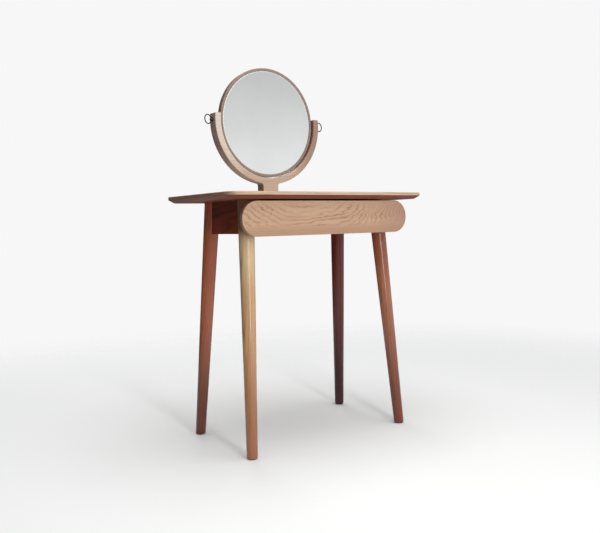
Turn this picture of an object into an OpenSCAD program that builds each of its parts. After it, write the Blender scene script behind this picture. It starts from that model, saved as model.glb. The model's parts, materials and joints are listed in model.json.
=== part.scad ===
// Dressing table in solid wood: four splayed round legs, one drawer with a round-ended front,
// and a round mirror that tilts in a U-shaped yoke. Millimetres, +Z up, front towards -Y,
// origin on the floor under the middle of the top.

/* [Table top] */
// Width of the top
top_w = 720; // [680:10:900]
// Depth of the top
top_d = 410; // [410:5:470]
// Height of the table surface above the floor
table_h = 750; // [700:5:780]
// Thickness of the top
top_t = 20; // [18:1:26]
// Plan radius of the top's corners
corner_r = 40; // [32:1:80]
// Width of the bevel under the top's edge
bevel_w = 18; // [12:0.5:30]
// Height of the bevel under the top's edge
bevel_h = 10; // [6:0.5:12]
// Radius of the rounding above the top's upright edge
edge_r = 3; // [1:0.25:5]

/* [Legs] */
// Leg radius where it meets the top
leg_top_r = 24.2; // [20:0.1:26]
// Leg radius at the floor
leg_foot_r = 15.7; // [12:0.1:20]
// Sideways distance of a leg's axis from the middle, under the top
leg_top_x = 245; // [240:1:320]
// Sideways distance of a foot from the middle
foot_x = 282; // [260:1:340]
// Forward distance of a front leg's axis from the middle, under the top
leg_front_y = 93; // [88:1:105]
// Forward distance of a front foot from the middle
foot_front_y = 151; // [120:1:180]
// Backward distance of a rear leg's axis from the middle, under the top
leg_rear_y = 104; // [98:1:115]
// Backward distance of a rear foot from the middle
foot_rear_y = 162; // [130:1:190]
// Thickness of the plastic glide under each foot
glide_t = 2.5; // [1:0.5:4]

/* [Frame] */
// Height of the aprons
apron_h = 97; // [85:1:110]
// Thickness of the aprons
apron_t = 22; // [18:1:24]
// Height of the rail under the drawer
rail_h = 20; // [16:1:22]
// Depth of the rail under the drawer
rail_d = 28; // [20:1:32]

/* [Drawer] */
// Length of the drawer front
front_w = 612; // [560:2:640]
// Height of the drawer front, which is also the diameter of its round ends
front_h = 100; // [90:1:110]
// Thickness of the drawer front
front_t = 14; // [12:0.5:18]
// Forward distance of the drawer front's face from the middle of the top
front_y = 173; // [168:1:178]
// Gap between the top's underside and the drawer front
front_gap = 4.6; // [3:0.1:8]
// Thickness of the drawer's sides
side_t = 12; // [10:0.5:15]
// Thickness of the drawer's bottom
bottom_t = 6; // [4:0.5:8]

/* [Mirror] */
// Backward distance of the mirror's plane from the middle of the top
mirror_y = 165; // [160:1:168]
// Height of the pivots above the table surface
pivot_h = 244.5; // [235:0.5:270]
// Outer radius of the mirror's wooden frame
frame_r = 179; // [160:1:184]
// Depth of the mirror's frame
frame_t = 19; // [18:0.5:26]
// Width of the frame's front face, outside the glass
frame_face = 9; // [8.5:0.5:12]
// Thickness of the glass
glass_t = 4; // [3:0.5:5]

/* [Yoke] */
// Depth of the yoke
yoke_t = 37; // [32:1:40]
// Width of the yoke's arms
yoke_w = 20.5; // [18:0.5:26]
// Gap between the yoke and the mirror's frame
yoke_gap = 3; // [2:0.1:5]
// Height of the arms' flat ends above the pivots
arm_rise = 21; // [14:0.5:30]
// Width of the neck
neck_w = 59; // [50:1:70]
// Radius of the fillets where the neck meets the arms
neck_fillet_r = 9; // [6:0.5:14]

/* [Pivot screws] */
// Radius of the screws' shanks
screw_r = 3; // [2.5:0.1:3.5]
// Radius of the round collar against the arm
collar_r = 6.5; // [5:0.1:8]
// Mean radius of the finger ring
ring_r = 14.2; // [12:0.1:16]
// Thickness of the finger ring's wire
ring_wire = 3.5; // [2.5:0.1:4]
// Angle of the left-hand ring towards the front
swing_left = 19; // [-60:1:60]
// Angle of the right-hand ring towards the front
swing_right = -15; // [-60:1:60]

/* [Hidden] */

$fn = 96;
eps = 0.01;      // overrun of cutters past the faces they open
fit = 0.1;       // clearance of joints in wood
running = 0.05;  // radial clearance of a shaft in its bush

under_z = table_h - top_t;

// Legs
leg_splay_x = foot_x - leg_top_x;
mortise_w = 10;
mortise_depth = 16;
mortise_shoulder = 10;
glide_r = 10;

// Frame
apron_z = under_z - apron_h;
batten_h = 40;
slide_z = under_z - 43;
slide_t = 12.7;
slide_l = 200;
slide_h = 35;
slide_sheet = 1.4;
slide_y = -110;
batten_l = 148;
batten_x = leg_inner_x(slide_z + batten_h / 2);
batten_y = slide_y + slide_l / 2 + 15;
batten_screw_ys = [batten_y - 50, batten_y + 50];
batten_screw_zs = [-15, 15];
batten_screw_l = 18;
slide_screw_ys = [batten_y - 30, batten_y + 30];
slide_screw_l = 8;
bracket_leg = 16;
bracket_sheet = 2;
bracket_w = 20;
small_screw_r = 1.9;
small_head_r = 3.8;
small_head_t = 1.6;

// Drawer
front_z = under_z - front_gap - front_h / 2;
front_back_y = -front_y + front_t;
box_h = 60;
box_z = under_z - 72;
box_outer_x = batten_x - slide_t;
box_back_y = 84;
groove = 5;
bottom_z = box_z + 7;
front_screw_xs = [-150, 150];
front_screw_zs = [20, 46];
front_screw_l = 8;

// Mirror
pivot_z = table_h + pivot_h;
glass_r = frame_r - frame_face;
rebate = glass_t + 1;
web_r = glass_r - 11;
back_screw_r = glass_r - 5.5;  // radius of the circle of screws in the back panel
back_screw_l = 7;
yoke_inner_r = frame_r + yoke_gap;
yoke_outer_r = yoke_inner_r + yoke_w;
bush_r = 4.5;
bush_flange_r = 7;
bush_flange_t = 1.3;
insert_depth = 8;
bolt_r = 4;
bolt_spacing = 32;
bolt_grip = 34;
bolt_head_r = 7;
bolt_head_t = 5;
bolt_hex_r = 2.9;
washer_r = 9;
washer_t = 1.5;
friction_r = 6;

// Colours
oak = [0.74, 0.56, 0.42];
oak_dark = [0.47, 0.29, 0.20];
oak_pale = [0.80, 0.70, 0.60];
birch = [0.84, 0.74, 0.60];
slate = [0.20, 0.25, 0.31];
zinc = [0.72, 0.73, 0.75];
brass = [0.72, 0.58, 0.30];

// Distance of a leg's axis from the middle at height z, sideways and for a front or rear leg
function leg_x(z) = foot_x - leg_splay_x * z / under_z;
function leg_y(z, top_y, foot_y) = foot_y - (foot_y - top_y) * z / under_z;
function leg_radius(z) = leg_foot_r + (leg_top_r - leg_foot_r) * z / under_z;
// Where a leg's inner side is at height z, with a little room for the splay
function leg_inner_x(z) = leg_x(z) - leg_radius(z) - 0.3;
function front_leg_y(z) = -leg_y(z, leg_front_y, foot_front_y);
function rear_leg_y(z) = leg_y(z, leg_rear_y, foot_rear_y);

// Runs its children on the left (-1) and on the right (+1), mirrored
module both_sides() {
  for (side = [0, 1]) mirror([side, 0, 0]) children();
}

// Puts its children's left-hand version on one side: -1 left, +1 right
module on_side(side) {
  mirror([side > 0 ? 1 : 0, 0, 0]) children();
}

// A block given by its low corner and its high corner
module block(low, high) {
  translate(low) cube(high - low);
}

// A cylinder from a point along X, Y or Z
module rod_x(at, r, l) {
  translate(at) rotate([0, 90, 0]) cylinder(r = r, h = l);
}

module rod_y(at, r, l) {
  translate(at) rotate([-90, 0, 0]) cylinder(r = r, h = l);
}

// ---- Table top ----

// Half of the top's section, from the middle out to its edge at half
module top_section(half) {
  rounding = [half - edge_r, top_t - edge_r];
  polygon([[0, 0], [half - bevel_w, 0], [half, bevel_h], [half, rounding[1]],
           rounding, [rounding[0], top_t], [0, top_t]]);
  intersection() {
    translate(rounding) circle(r = edge_r);
    translate(rounding) square(2 * edge_r);
  }
}

module full_section(half) {
  top_section(half);
  mirror([1, 0]) top_section(half);
}

module top_panel() {
  straight_w = top_w - 2 * corner_r;
  straight_d = top_d - 2 * corner_r;
  color(oak)
  difference() {
    translate([0, 0, under_z]) {
      translate([-straight_w / 2, 0, 0]) rotate([90, 0, 90])
        linear_extrude(straight_w) full_section(top_d / 2);
      translate([0, straight_d / 2, 0]) rotate([90, 0, 0])
        linear_extrude(straight_d) full_section(top_w / 2);
      for (x = [-1, 1], y = [-1, 1])
        translate([x * straight_w / 2, y * straight_d / 2, 0])
          rotate_extrude() top_section(corner_r);
    }
    for (x = [-1, 1]) translate([x * bolt_spacing / 2, mirror_y, under_z - eps])
      cylinder(r = bolt_r + 0.5, h = top_t + 2 * eps);
    bracket_places() translate([0, 0, under_z - eps])
      cylinder(r = small_screw_r, h = 12);
  }
}

// ---- Legs and frame ----

// A leg's tapered round blank between the floor and the top, grown by extra
module leg_blank(x, top_y, foot_y, extra = 0) {
  foot = [x * foot_x, foot_y, 0];
  lean = [x * leg_top_x, top_y, under_z] - foot;
  run = norm([lean[0], lean[1]]);
  overrun = 20;
  flare = (leg_top_r - leg_foot_r) * overrun / norm(lean);
  translate(foot) rotate([0, 0, atan2(lean[1], lean[0])]) rotate([0, atan2(run, lean[2]), 0])
    translate([0, 0, -overrun])
      cylinder(r1 = leg_foot_r - flare + extra, r2 = leg_top_r + flare + extra, h = norm(lean) + 2 * overrun);
}

module front_leg_blanks(extra) {
  for (x = [-1, 1]) leg_blank(x, -leg_front_y, -foot_front_y, extra);
}

module rear_leg_blanks(extra) {
  for (x = [-1, 1]) leg_blank(x, leg_rear_y, foot_rear_y, extra);
}

module leg(x, top_y, foot_y) {
  color(oak_dark)
  difference() {
    intersection() {
      leg_blank(x, top_y, foot_y);
      block([-foot_x - 60, -foot_front_y - 60, glide_t], [foot_x + 60, foot_rear_y + 60, under_z]);
    }
    side_tenons(fit);
    back_tenons(fit);
    rail_tenons(fit);
  }
}

module leg_front_left() leg(-1, -leg_front_y, -foot_front_y);
module leg_front_right() leg(1, -leg_front_y, -foot_front_y);
module leg_rear_left() leg(-1, leg_rear_y, foot_rear_y);
module leg_rear_right() leg(1, leg_rear_y, foot_rear_y);

module foot_glides() {
  color([0.16, 0.15, 0.14])
  for (x = [-1, 1], y = [-foot_front_y, foot_rear_y])
    translate([x * foot_x, y, 0]) {
      cylinder(r = glide_r, h = glide_t / 2);
      translate([0, 0, glide_t / 2]) cylinder(r = glide_r + 1.5, h = glide_t / 2);
    }
}

// Heights and places of the tenons
tenon_low = apron_z + mortise_shoulder;
tenon_high = under_z - mortise_shoulder;
apron_x = leg_x((apron_z + under_z) / 2);
back_y = rear_leg_y((apron_z + under_z) / 2);
rail_y = front_leg_y(apron_z + rail_h / 2);
tenon_reach_y = leg_radius(tenon_high) - mortise_depth;

module side_tenons(grow) {
  for (x = [-1, 1])
    block([x * apron_x - mortise_w / 2 - grow, front_leg_y(tenon_low) + tenon_reach_y - grow,
           tenon_low - grow],
          [x * apron_x + mortise_w / 2 + grow, rear_leg_y(tenon_low) - tenon_reach_y + grow,
           tenon_high + grow]);
}

module back_tenons(grow) {
  reach_x = leg_x(tenon_low) - tenon_reach_y + grow;
  block([-reach_x, back_y - mortise_w / 2 - grow, tenon_low - grow],
        [reach_x, back_y + mortise_w / 2 + grow, tenon_high + grow]);
}

module rail_tenons(grow) {
  reach_x = leg_x(apron_z) - tenon_reach_y + grow;
  block([-reach_x, rail_y - mortise_w / 2 - grow, apron_z + 4 - grow],
        [reach_x, rail_y + mortise_w / 2 + grow, apron_z + rail_h - 4 + grow]);
}

module side_apron(x) {
  color(oak_dark)
  difference() {
    union() {
      difference() {
        block([x * apron_x - apron_t / 2, front_leg_y(under_z), apron_z],
              [x * apron_x + apron_t / 2, rear_leg_y(under_z), under_z]);
        front_leg_blanks(fit);
        rear_leg_blanks(fit);
      }
      intersection() {
        side_tenons(0);
        block([x * apron_x - apron_t, -top_d / 2, apron_z], [x * apron_x + apron_t, top_d / 2, under_z]);
      }
    }
    batten_screw_places() rod_x([-apron_x, 0, 0], small_screw_r, apron_t / 2);
    side_bracket_places() rod_x([-apron_x, 0, 0], small_screw_r, apron_t / 2);
  }
}

module apron_left() side_apron(-1);
module apron_right() side_apron(1);

module apron_back() {
  color(oak_dark)
  difference() {
    union() {
      difference() {
        block([-leg_x(under_z), back_y - apron_t / 2, apron_z],
              [leg_x(under_z), back_y + apron_t / 2, under_z]);
        rear_leg_blanks(fit);
      }
      back_tenons(0);
    }
    for (x = back_bracket_xs)
      rod_y([x, back_y - apron_t / 2 - eps, bracket_screw_z], small_screw_r, apron_t / 2);
  }
}

module rail_front() {
  color(oak_dark) {
    difference() {
      block([-leg_x(apron_z), rail_y - rail_d / 2, apron_z],
            [leg_x(apron_z), rail_y + rail_d / 2, apron_z + rail_h]);
      front_leg_blanks(fit);
    }
    rail_tenons(0);
  }
}

// ---- Brackets that hold the top ----

bracket_screw_z = under_z - bracket_leg / 2 - 1;
side_bracket_ys = [-45, 55];
back_bracket_xs = [-120, 120];

// Places of the screws that go up into the top
module bracket_places() {
  for (x = [-1, 1], y = side_bracket_ys)
    translate([x * (apron_x - apron_t / 2 - bracket_leg / 2 - 1), y, 0]) children();
  for (x = back_bracket_xs)
    translate([x, back_y - apron_t / 2 - bracket_leg / 2 - 1, 0]) children();
}

// Places of the screws that go into the side aprons, mirrored to both sides
module side_bracket_places() {
  both_sides() for (y = side_bracket_ys) translate([0, y, bracket_screw_z]) children();
}

// An angle bracket in the corner at the origin, under the top and in front of a board at +Y
module bracket() {
  difference() {
    union() {
      block([-bracket_w / 2, -bracket_leg, -bracket_sheet], [bracket_w / 2, 0, 0]);
      block([-bracket_w / 2, -bracket_sheet, -bracket_leg], [bracket_w / 2, 0, 0]);
    }
    translate([0, -bracket_leg / 2 - 1, -bracket_sheet - eps])
      cylinder(r = small_screw_r + 0.2, h = bracket_sheet + 2 * eps);
    rod_y([0, -bracket_sheet - eps, -bracket_leg / 2 - 1], small_screw_r + 0.2, bracket_sheet + 2 * eps);
  }
}

// A small pan-head screw with its head under z = 0 and its shank above
module small_screw(shank) {
  translate([0, 0, -small_head_t]) cylinder(r = small_head_r, h = small_head_t);
  translate([0, 0, -eps]) cylinder(r = small_screw_r - running, h = shank + eps);
}

module bracket_corners() {
  both_sides() for (y = side_bracket_ys)
    translate([-(apron_x - apron_t / 2), y, under_z]) rotate([0, 0, 90]) children();
  for (x = back_bracket_xs) translate([x, back_y - apron_t / 2, under_z]) children();
}

module top_brackets() {
  color(zinc) bracket_corners() bracket();
}

module bracket_screws() {
  color(zinc) bracket_corners() {
    translate([0, -bracket_leg / 2 - 1, -bracket_sheet]) small_screw(bracket_sheet + 10);
    translate([0, -bracket_sheet, -bracket_leg / 2 - 1]) rotate([-90, 0, 0]) small_screw(bracket_sheet + 9);
  }
}

// ---- Battens and slides ----

// Places of the screws that hold the battens, mirrored to both sides
module batten_screw_places() {
  both_sides() for (y = batten_screw_ys, z = batten_screw_zs) translate([0, y, slide_z + z]) children();
}

module batten(x) {
  color(birch) on_side(x)
  difference() {
    block([-(apron_x - apron_t / 2), batten_y - batten_l / 2, slide_z - batten_h / 2],
          [-batten_x, batten_y + batten_l / 2, slide_z + batten_h / 2]);
    for (y = batten_screw_ys, z = batten_screw_zs) {
      rod_x([-apron_x, y, slide_z + z], small_screw_r, apron_x - batten_x);
      rod_x([-batten_x - small_head_t - 0.3, y, slide_z + z], small_head_r + 0.2, apron_t);
    }
    for (y = slide_screw_ys)
      rod_x([-batten_x - slide_screw_l - 1, y, slide_z], small_screw_r, apron_t);
  }
}

module batten_left() batten(-1);
module batten_right() batten(1);

module batten_screws() {
  color(zinc) both_sides() for (y = batten_screw_ys, z = batten_screw_zs)
    translate([-batten_x - 0.3, y, slide_z + z]) rotate([0, -90, 0])
      translate([0, 0, small_head_t]) small_screw(batten_screw_l);
}

// One member of a slide: a channel between two distances from the batten, open towards +X when
// opening is 1 and towards -X when it is -1
module channel(low, high, half_h, opening) {
  plate_x = opening > 0 ? low : high - slide_sheet;
  block([plate_x, slide_y, slide_z - half_h], [plate_x + slide_sheet, slide_y + slide_l, slide_z + half_h]);
  for (z = [-half_h, half_h - slide_sheet])
    block([low, slide_y, slide_z + z], [high, slide_y + slide_l, slide_z + z + slide_sheet]);
}

member_gap = 0.5;
outer_half = slide_h / 2;
middle_half = outer_half - slide_sheet - member_gap;
inner_half = middle_half - slide_sheet - member_gap;

module slide_outer(x) {
  color(zinc) on_side(x) translate([-batten_x, 0, 0])
  difference() {
    channel(0, 9, outer_half, 1);
    for (y = slide_screw_ys) rod_x([-eps, y, slide_z], small_screw_r + 0.2, 3);
  }
}

module slide_middle(x) {
  color(zinc) on_side(x) translate([-batten_x, 0, 0])
  difference() {
    channel(slide_sheet + small_head_t + 0.4, 10, middle_half, 1);
    for (y = slide_screw_ys) rod_x([0, y, slide_z], small_head_r + 0.6, 8);
  }
}

module slide_inner(x) {
  color(zinc) on_side(x) translate([-batten_x, 0, 0])
  difference() {
    channel(6, slide_t, inner_half, -1);
    for (y = slide_screw_ys) rod_x([slide_t - 3, y, slide_z], small_screw_r + 0.2, 4);
  }
}

module slide_outer_left() slide_outer(-1);
module slide_outer_right() slide_outer(1);
module slide_middle_left() slide_middle(-1);
module slide_middle_right() slide_middle(1);
module slide_inner_left() slide_inner(-1);
module slide_inner_right() slide_inner(1);

// Screws that hold the outer members to the battens
module slide_screws() {
  color(zinc) both_sides() for (y = slide_screw_ys)
    translate([-batten_x + slide_sheet, y, slide_z]) rotate([0, -90, 0])
      small_screw(slide_sheet + slide_screw_l);
}

// Screws that hold the inner members to the drawer's sides
module drawer_slide_screws() {
  color(zinc) both_sides() for (y = slide_screw_ys)
    translate([-box_outer_x - slide_sheet, y, slide_z]) rotate([0, 90, 0])
      small_screw(slide_sheet + slide_screw_l);
}

// ---- Drawer ----

module drawer_front() {
  end_x = front_w / 2 - front_h / 2;
  color(oak)
  difference() {
    union() {
      block([-end_x, -front_y, front_z - front_h / 2], [end_x, front_back_y, front_z + front_h / 2]);
      for (x = [-end_x, end_x]) rod_y([x, -front_y, front_z], front_h / 2, front_t);
    }
    front_screw_places()
      rod_y([0, front_back_y - front_screw_l - 1, 0], small_screw_r, front_screw_l + 1 + eps);
  }
}

module front_screw_places() {
  for (x = front_screw_xs, z = front_screw_zs) translate([x, 0, box_z + z]) children();
}

module drawer_side(x) {
  color(birch) on_side(x)
  difference() {
    block([-box_outer_x, front_back_y, box_z], [-box_outer_x + side_t, box_back_y, box_z + box_h]);
    block([-box_outer_x + side_t - groove - fit, front_back_y - eps, bottom_z - fit],
          [-box_outer_x + side_t + eps, box_back_y + eps, bottom_z + bottom_t + fit]);
    for (y = slide_screw_ys) rod_x([-box_outer_x - eps, y, slide_z], small_screw_r, slide_screw_l + 1);
  }
}

module drawer_side_left() drawer_side(-1);
module drawer_side_right() drawer_side(1);

// The board across the front end of the box, with the groove for the bottom
module drawer_box_front() {
  half = box_outer_x - side_t;
  color(birch)
  difference() {
    block([-half, front_back_y, box_z], [half, front_back_y + side_t, box_z + box_h]);
    block([-half - eps, front_back_y + side_t - groove - fit, bottom_z - fit],
          [half + eps, front_back_y + side_t + eps, bottom_z + bottom_t + fit]);
    front_screw_places() rod_y([0, front_back_y - eps, 0], small_screw_r + 0.2, side_t + 2 * eps);
  }
}

// The back sits on the bottom, so its lower edge is above the groove
module drawer_back() {
  half = box_outer_x - side_t;
  color(birch)
  block([-half, box_back_y - side_t, bottom_z + bottom_t], [half, box_back_y, box_z + box_h]);
}

module drawer_bottom() {
  half = box_outer_x - side_t + groove;
  color(birch)
  block([-half, front_back_y + side_t - groove, bottom_z], [half, box_back_y, bottom_z + bottom_t]);
}

module drawer_front_screws() {
  color(zinc) front_screw_places() translate([0, front_back_y + side_t, 0]) rotate([90, 0, 0])
    small_screw(side_t + front_screw_l);
}

// ---- Yoke ----

// The fillet on the right-hand side of the neck, in the plane of the yoke
module neck_fillet() {
  centre_x = neck_w / 2 + neck_fillet_r;
  centre_drop = sqrt(pow(yoke_outer_r + neck_fillet_r, 2) - pow(centre_x, 2));
  centre = [centre_x, -centre_drop];
  on_arm = centre * yoke_outer_r / (yoke_outer_r + neck_fillet_r);
  difference() {
    polygon([[neck_w / 2 - 1, -centre_drop], centre, on_arm, on_arm * (1 - 2 / yoke_outer_r),
             [neck_w / 2 - 1, 2 - yoke_outer_r]]);
    translate(centre) circle(r = neck_fillet_r);
  }
}

module yoke_outline() {
  difference() {
    union() {
      circle(r = yoke_outer_r, $fn = 180);
      translate([-neck_w / 2, -pivot_h]) square([neck_w, pivot_h - yoke_inner_r]);
      neck_fillet();
      mirror([1, 0]) neck_fillet();
    }
    circle(r = yoke_inner_r, $fn = 180);
    translate([-yoke_outer_r - 1, arm_rise]) square([2 * yoke_outer_r + 2, yoke_outer_r]);
  }
}

module yoke() {
  color(oak_pale)
  difference() {
    translate([0, mirror_y + yoke_t / 2, pivot_z]) rotate([90, 0, 0]) linear_extrude(yoke_t) yoke_outline();
    rod_x([-yoke_outer_r - 1, mirror_y, pivot_z], bush_r, 2 * yoke_outer_r + 2);
    both_sides() rod_x([-yoke_outer_r - 1, mirror_y, pivot_z], bush_flange_r + fit, 1 + bush_flange_t);
    for (x = [-1, 1]) translate([x * bolt_spacing / 2, mirror_y, table_h - eps])
      cylinder(r = bolt_r, h = bolt_grip);
  }
}

// Hexagon-socket bolts from under the top into the neck
module yoke_bolts() {
  color(slate) for (x = [-1, 1]) translate([x * bolt_spacing / 2, mirror_y, under_z - washer_t]) {
    difference() {
      translate([0, 0, -bolt_head_t]) cylinder(r = bolt_head_r, h = bolt_head_t);
      translate([0, 0, -bolt_head_t - eps]) cylinder(r = bolt_hex_r, h = 0.6 * bolt_head_t, $fn = 6);
    }
    cylinder(r = bolt_r - running, h = washer_t + top_t + bolt_grip - 2);
  }
}

module yoke_washers() {
  color(zinc) for (x = [-1, 1]) translate([x * bolt_spacing / 2, mirror_y, under_z - washer_t])
    difference() {
      cylinder(r = washer_r, h = washer_t);
      translate([0, 0, -eps]) cylinder(r = bolt_r + 0.3, h = washer_t + 2 * eps);
    }
}

// Brass bushes in the arms, flanged on the outside
module yoke_bushes() {
  color(brass) both_sides()
  difference() {
    union() {
      rod_x([-yoke_outer_r, mirror_y, pivot_z], bush_r - running, yoke_w - fit);
      rod_x([-yoke_outer_r, mirror_y, pivot_z], bush_flange_r, bush_flange_t);
    }
    rod_x([-yoke_outer_r - 1, mirror_y, pivot_z], screw_r + running, yoke_w + 2);
  }
}

// Friction washers between the arms and the mirror's frame
module pivot_washers() {
  color([0.15, 0.15, 0.16]) both_sides()
  difference() {
    rod_x([-yoke_inner_r + 0.25, mirror_y, pivot_z], friction_r, yoke_gap - 0.35);
    rod_x([-yoke_inner_r, mirror_y, pivot_z], screw_r + 0.2, yoke_gap);
  }
}

// ---- Mirror ----

// A disc or ring about the pivot's centre, between two depths behind the frame's front face
module mirror_ring(outer, inner, low, high) {
  translate([0, mirror_y - frame_t / 2, pivot_z]) rotate([-90, 0, 0])
  difference() {
    translate([0, 0, low]) cylinder(r = outer, h = high - low, $fn = 180);
    if (inner > 0) translate([0, 0, low - eps]) cylinder(r = inner, h = high - low + 2 * eps, $fn = 180);
  }
}

module mirror_frame() {
  color(oak_pale)
  difference() {
    mirror_ring(frame_r, web_r, 0, frame_t);
    mirror_ring(glass_r, 0, -eps, rebate);
    mirror_ring(glass_r, 0, frame_t - rebate, frame_t + eps);
    both_sides() rod_x([-frame_r - 1, mirror_y, pivot_z], bush_r, insert_depth + 1.5);
    back_screw_places()
      rod_y([0, frame_t / 2 - rebate - back_screw_l - 1, 0], small_screw_r, back_screw_l + 1 + eps);
  }
}

module mirror_glass() {
  color([0.86, 0.91, 0.93]) mirror_ring(glass_r - 0.3, 0, rebate - glass_t, rebate);
}

module back_screw_places() {
  for (a = [22.5:45:337.5])
    translate([back_screw_r * cos(a), mirror_y, pivot_z + back_screw_r * sin(a)]) children();
}

module mirror_back() {
  color(birch)
  difference() {
    mirror_ring(glass_r - 0.3, 0, frame_t - rebate, frame_t - 1);
    back_screw_places() rod_y([0, frame_t / 2 - rebate - eps, 0], small_screw_r + 0.2, rebate);
  }
}

module mirror_back_screws() {
  color(zinc) back_screw_places() translate([0, frame_t / 2 - 1, 0]) rotate([90, 0, 0])
    small_screw(rebate - 1 + back_screw_l);
}

// Brass bushes pressed into the frame from outside
module mirror_bushes() {
  color(brass) both_sides()
  difference() {
    rod_x([-frame_r + 0.3, mirror_y, pivot_z], bush_r - running, insert_depth);
    rod_x([-frame_r, mirror_y, pivot_z], screw_r + running, insert_depth + 1);
  }
}

// ---- Pivot screws ----

collar_x = yoke_outer_r + 0.3;
collar_t = 2.2;
eye_r = 4.2;
eye_l = 6;
eye_half_h = 3.5;
ring_hinge_x = collar_x + collar_t + eye_l / 2;

// A plain shank with a round collar and an eye, drilled upright for the finger ring
module pivot_screw(x) {
  color(slate) on_side(x)
  difference() {
    union() {
      rod_x([-collar_x, mirror_y, pivot_z], screw_r, collar_x - frame_r + insert_depth - 2);
      rod_x([-collar_x - collar_t, mirror_y, pivot_z], collar_r, collar_t);
      intersection() {
        rod_x([-collar_x - collar_t - eye_l, mirror_y, pivot_z], eye_r, eye_l + 1);
        block([-ring_hinge_x - eye_l, mirror_y - eye_r, pivot_z - eye_half_h],
              [-collar_x, mirror_y + eye_r, pivot_z + eye_half_h]);
      }
    }
    translate([-ring_hinge_x, mirror_y, pivot_z - eye_r]) cylinder(r = ring_wire / 2 + 0.6, h = 2 * eye_r);
  }
}

// A wire ring through the eye, swung towards the front about the eye's hole
module pull_ring(x, swing) {
  color(slate) on_side(x)
  translate([-ring_hinge_x, mirror_y, pivot_z]) rotate([0, 0, swing]) translate([-ring_r, 0, 0])
    rotate([90, 0, 0]) rotate_extrude() translate([ring_r, 0]) circle(r = ring_wire / 2, $fn = 32);
}

module pivot_screw_left() pivot_screw(-1);
module pivot_screw_right() pivot_screw(1);
module pull_ring_left() pull_ring(-1, swing_left);
module pull_ring_right() pull_ring(1, swing_right);

top_panel();
leg_front_left();
leg_front_right();
leg_rear_left();
leg_rear_right();
foot_glides();
apron_left();
apron_right();
apron_back();
rail_front();
top_brackets();
bracket_screws();
batten_left();
batten_right();
batten_screws();
slide_outer_left();
slide_outer_right();
slide_middle_left();
slide_middle_right();
slide_inner_left();
slide_inner_right();
slide_screws();
drawer_slide_screws();
drawer_front();
drawer_side_left();
drawer_side_right();
drawer_box_front();
drawer_back();
drawer_bottom();
drawer_front_screws();
yoke();
yoke_bolts();
yoke_washers();
yoke_bushes();
pivot_washers();
mirror_frame();
mirror_glass();
mirror_back();
mirror_back_screws();
mirror_bushes();
pivot_screw_left();
pivot_screw_right();
pull_ring_left();
pull_ring_right();
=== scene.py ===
"""The looks of the dressing table: finer meshes and wood, metal and mirror materials on the CAD frame."""

import json
import math

import bpy
from mathutils import Matrix, Vector


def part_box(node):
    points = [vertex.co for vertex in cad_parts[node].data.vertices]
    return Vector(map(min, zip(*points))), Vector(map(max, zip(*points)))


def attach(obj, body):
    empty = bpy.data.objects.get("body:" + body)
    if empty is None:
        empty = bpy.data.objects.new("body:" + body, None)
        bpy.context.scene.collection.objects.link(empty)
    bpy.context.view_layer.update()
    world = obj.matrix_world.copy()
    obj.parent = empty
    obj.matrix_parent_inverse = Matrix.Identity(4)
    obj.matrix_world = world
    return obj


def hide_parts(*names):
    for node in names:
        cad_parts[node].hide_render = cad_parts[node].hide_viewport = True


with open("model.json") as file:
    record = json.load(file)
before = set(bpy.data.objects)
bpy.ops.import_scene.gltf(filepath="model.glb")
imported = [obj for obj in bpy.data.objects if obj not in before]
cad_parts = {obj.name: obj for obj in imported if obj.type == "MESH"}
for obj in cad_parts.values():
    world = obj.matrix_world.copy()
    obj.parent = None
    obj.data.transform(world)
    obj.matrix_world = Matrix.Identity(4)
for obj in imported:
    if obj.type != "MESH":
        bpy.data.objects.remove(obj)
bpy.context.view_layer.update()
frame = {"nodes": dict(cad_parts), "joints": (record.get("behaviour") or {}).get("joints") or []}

MM = 0.001
QUARTER = 24  # segments in a quarter turn of a large outline


# ---- Meshes ----


def piece(name, shape, body, node, angle):
    """A mesh object that rides on a body and stands for a CAD node. Edges sharper
    than angle, in degrees, stay sharp in its shading."""
    verts, faces = shape
    mesh = bpy.data.meshes.new(name)
    mesh.from_pydata([tuple(v) for v in verts], [], faces)
    mesh.validate()
    mesh.update()
    mesh.shade_smooth()
    mesh.set_sharp_from_angle(angle=math.radians(angle))
    obj = bpy.data.objects.new(name, mesh)
    bpy.context.scene.collection.objects.link(obj)
    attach(obj, body)
    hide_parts(node)
    return obj


def ring_faces(rings, count, closed=False):
    """Quads between successive rings of count vertices, and from the last to the first if closed."""
    faces = []
    for r in range(rings if closed else rings - 1):
        a, b = r * count, ((r + 1) % rings) * count
        for i in range(count):
            j = (i + 1) % count
            faces.append((a + i, a + j, b + j, b + i))
    return faces


def capped(faces, rings, count):
    """The same faces with a cap on the first ring and one on the last."""
    top = (rings - 1) * count
    return faces + [tuple(reversed(range(count))), tuple(range(top, top + count))]


def turned_over(shape):
    """A shape with its faces turned to the other side, for one built in a mirrored space."""
    verts, faces = shape
    return verts, [tuple(reversed(face)) for face in faces]


def arc(centre, radius, start, end, steps):
    """Points and outward normals along an arc in a plane, angles in degrees."""
    points = []
    for i in range(steps + 1):
        a = math.radians(start + (end - start) * i / steps)
        n = (math.cos(a), math.sin(a))
        points.append(((centre[0] + radius * n[0], centre[1] + radius * n[1]), n))
    return points


def hollow_arc(centre, radius, start, end, steps):
    """The same along an arc whose centre is outside the shape."""
    return [(p, (-n[0], -n[1])) for p, n in arc(centre, radius, start, end, steps)]


def bend(start, corner, end, steps):
    """Points along a smooth bend from start to end, drawn towards a corner."""
    points = []
    for i in range(steps + 1):
        t = i / steps
        points.append(tuple((1 - t) ** 2 * start + 2 * t * (1 - t) * corner + t * t * end))
    return points


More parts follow.
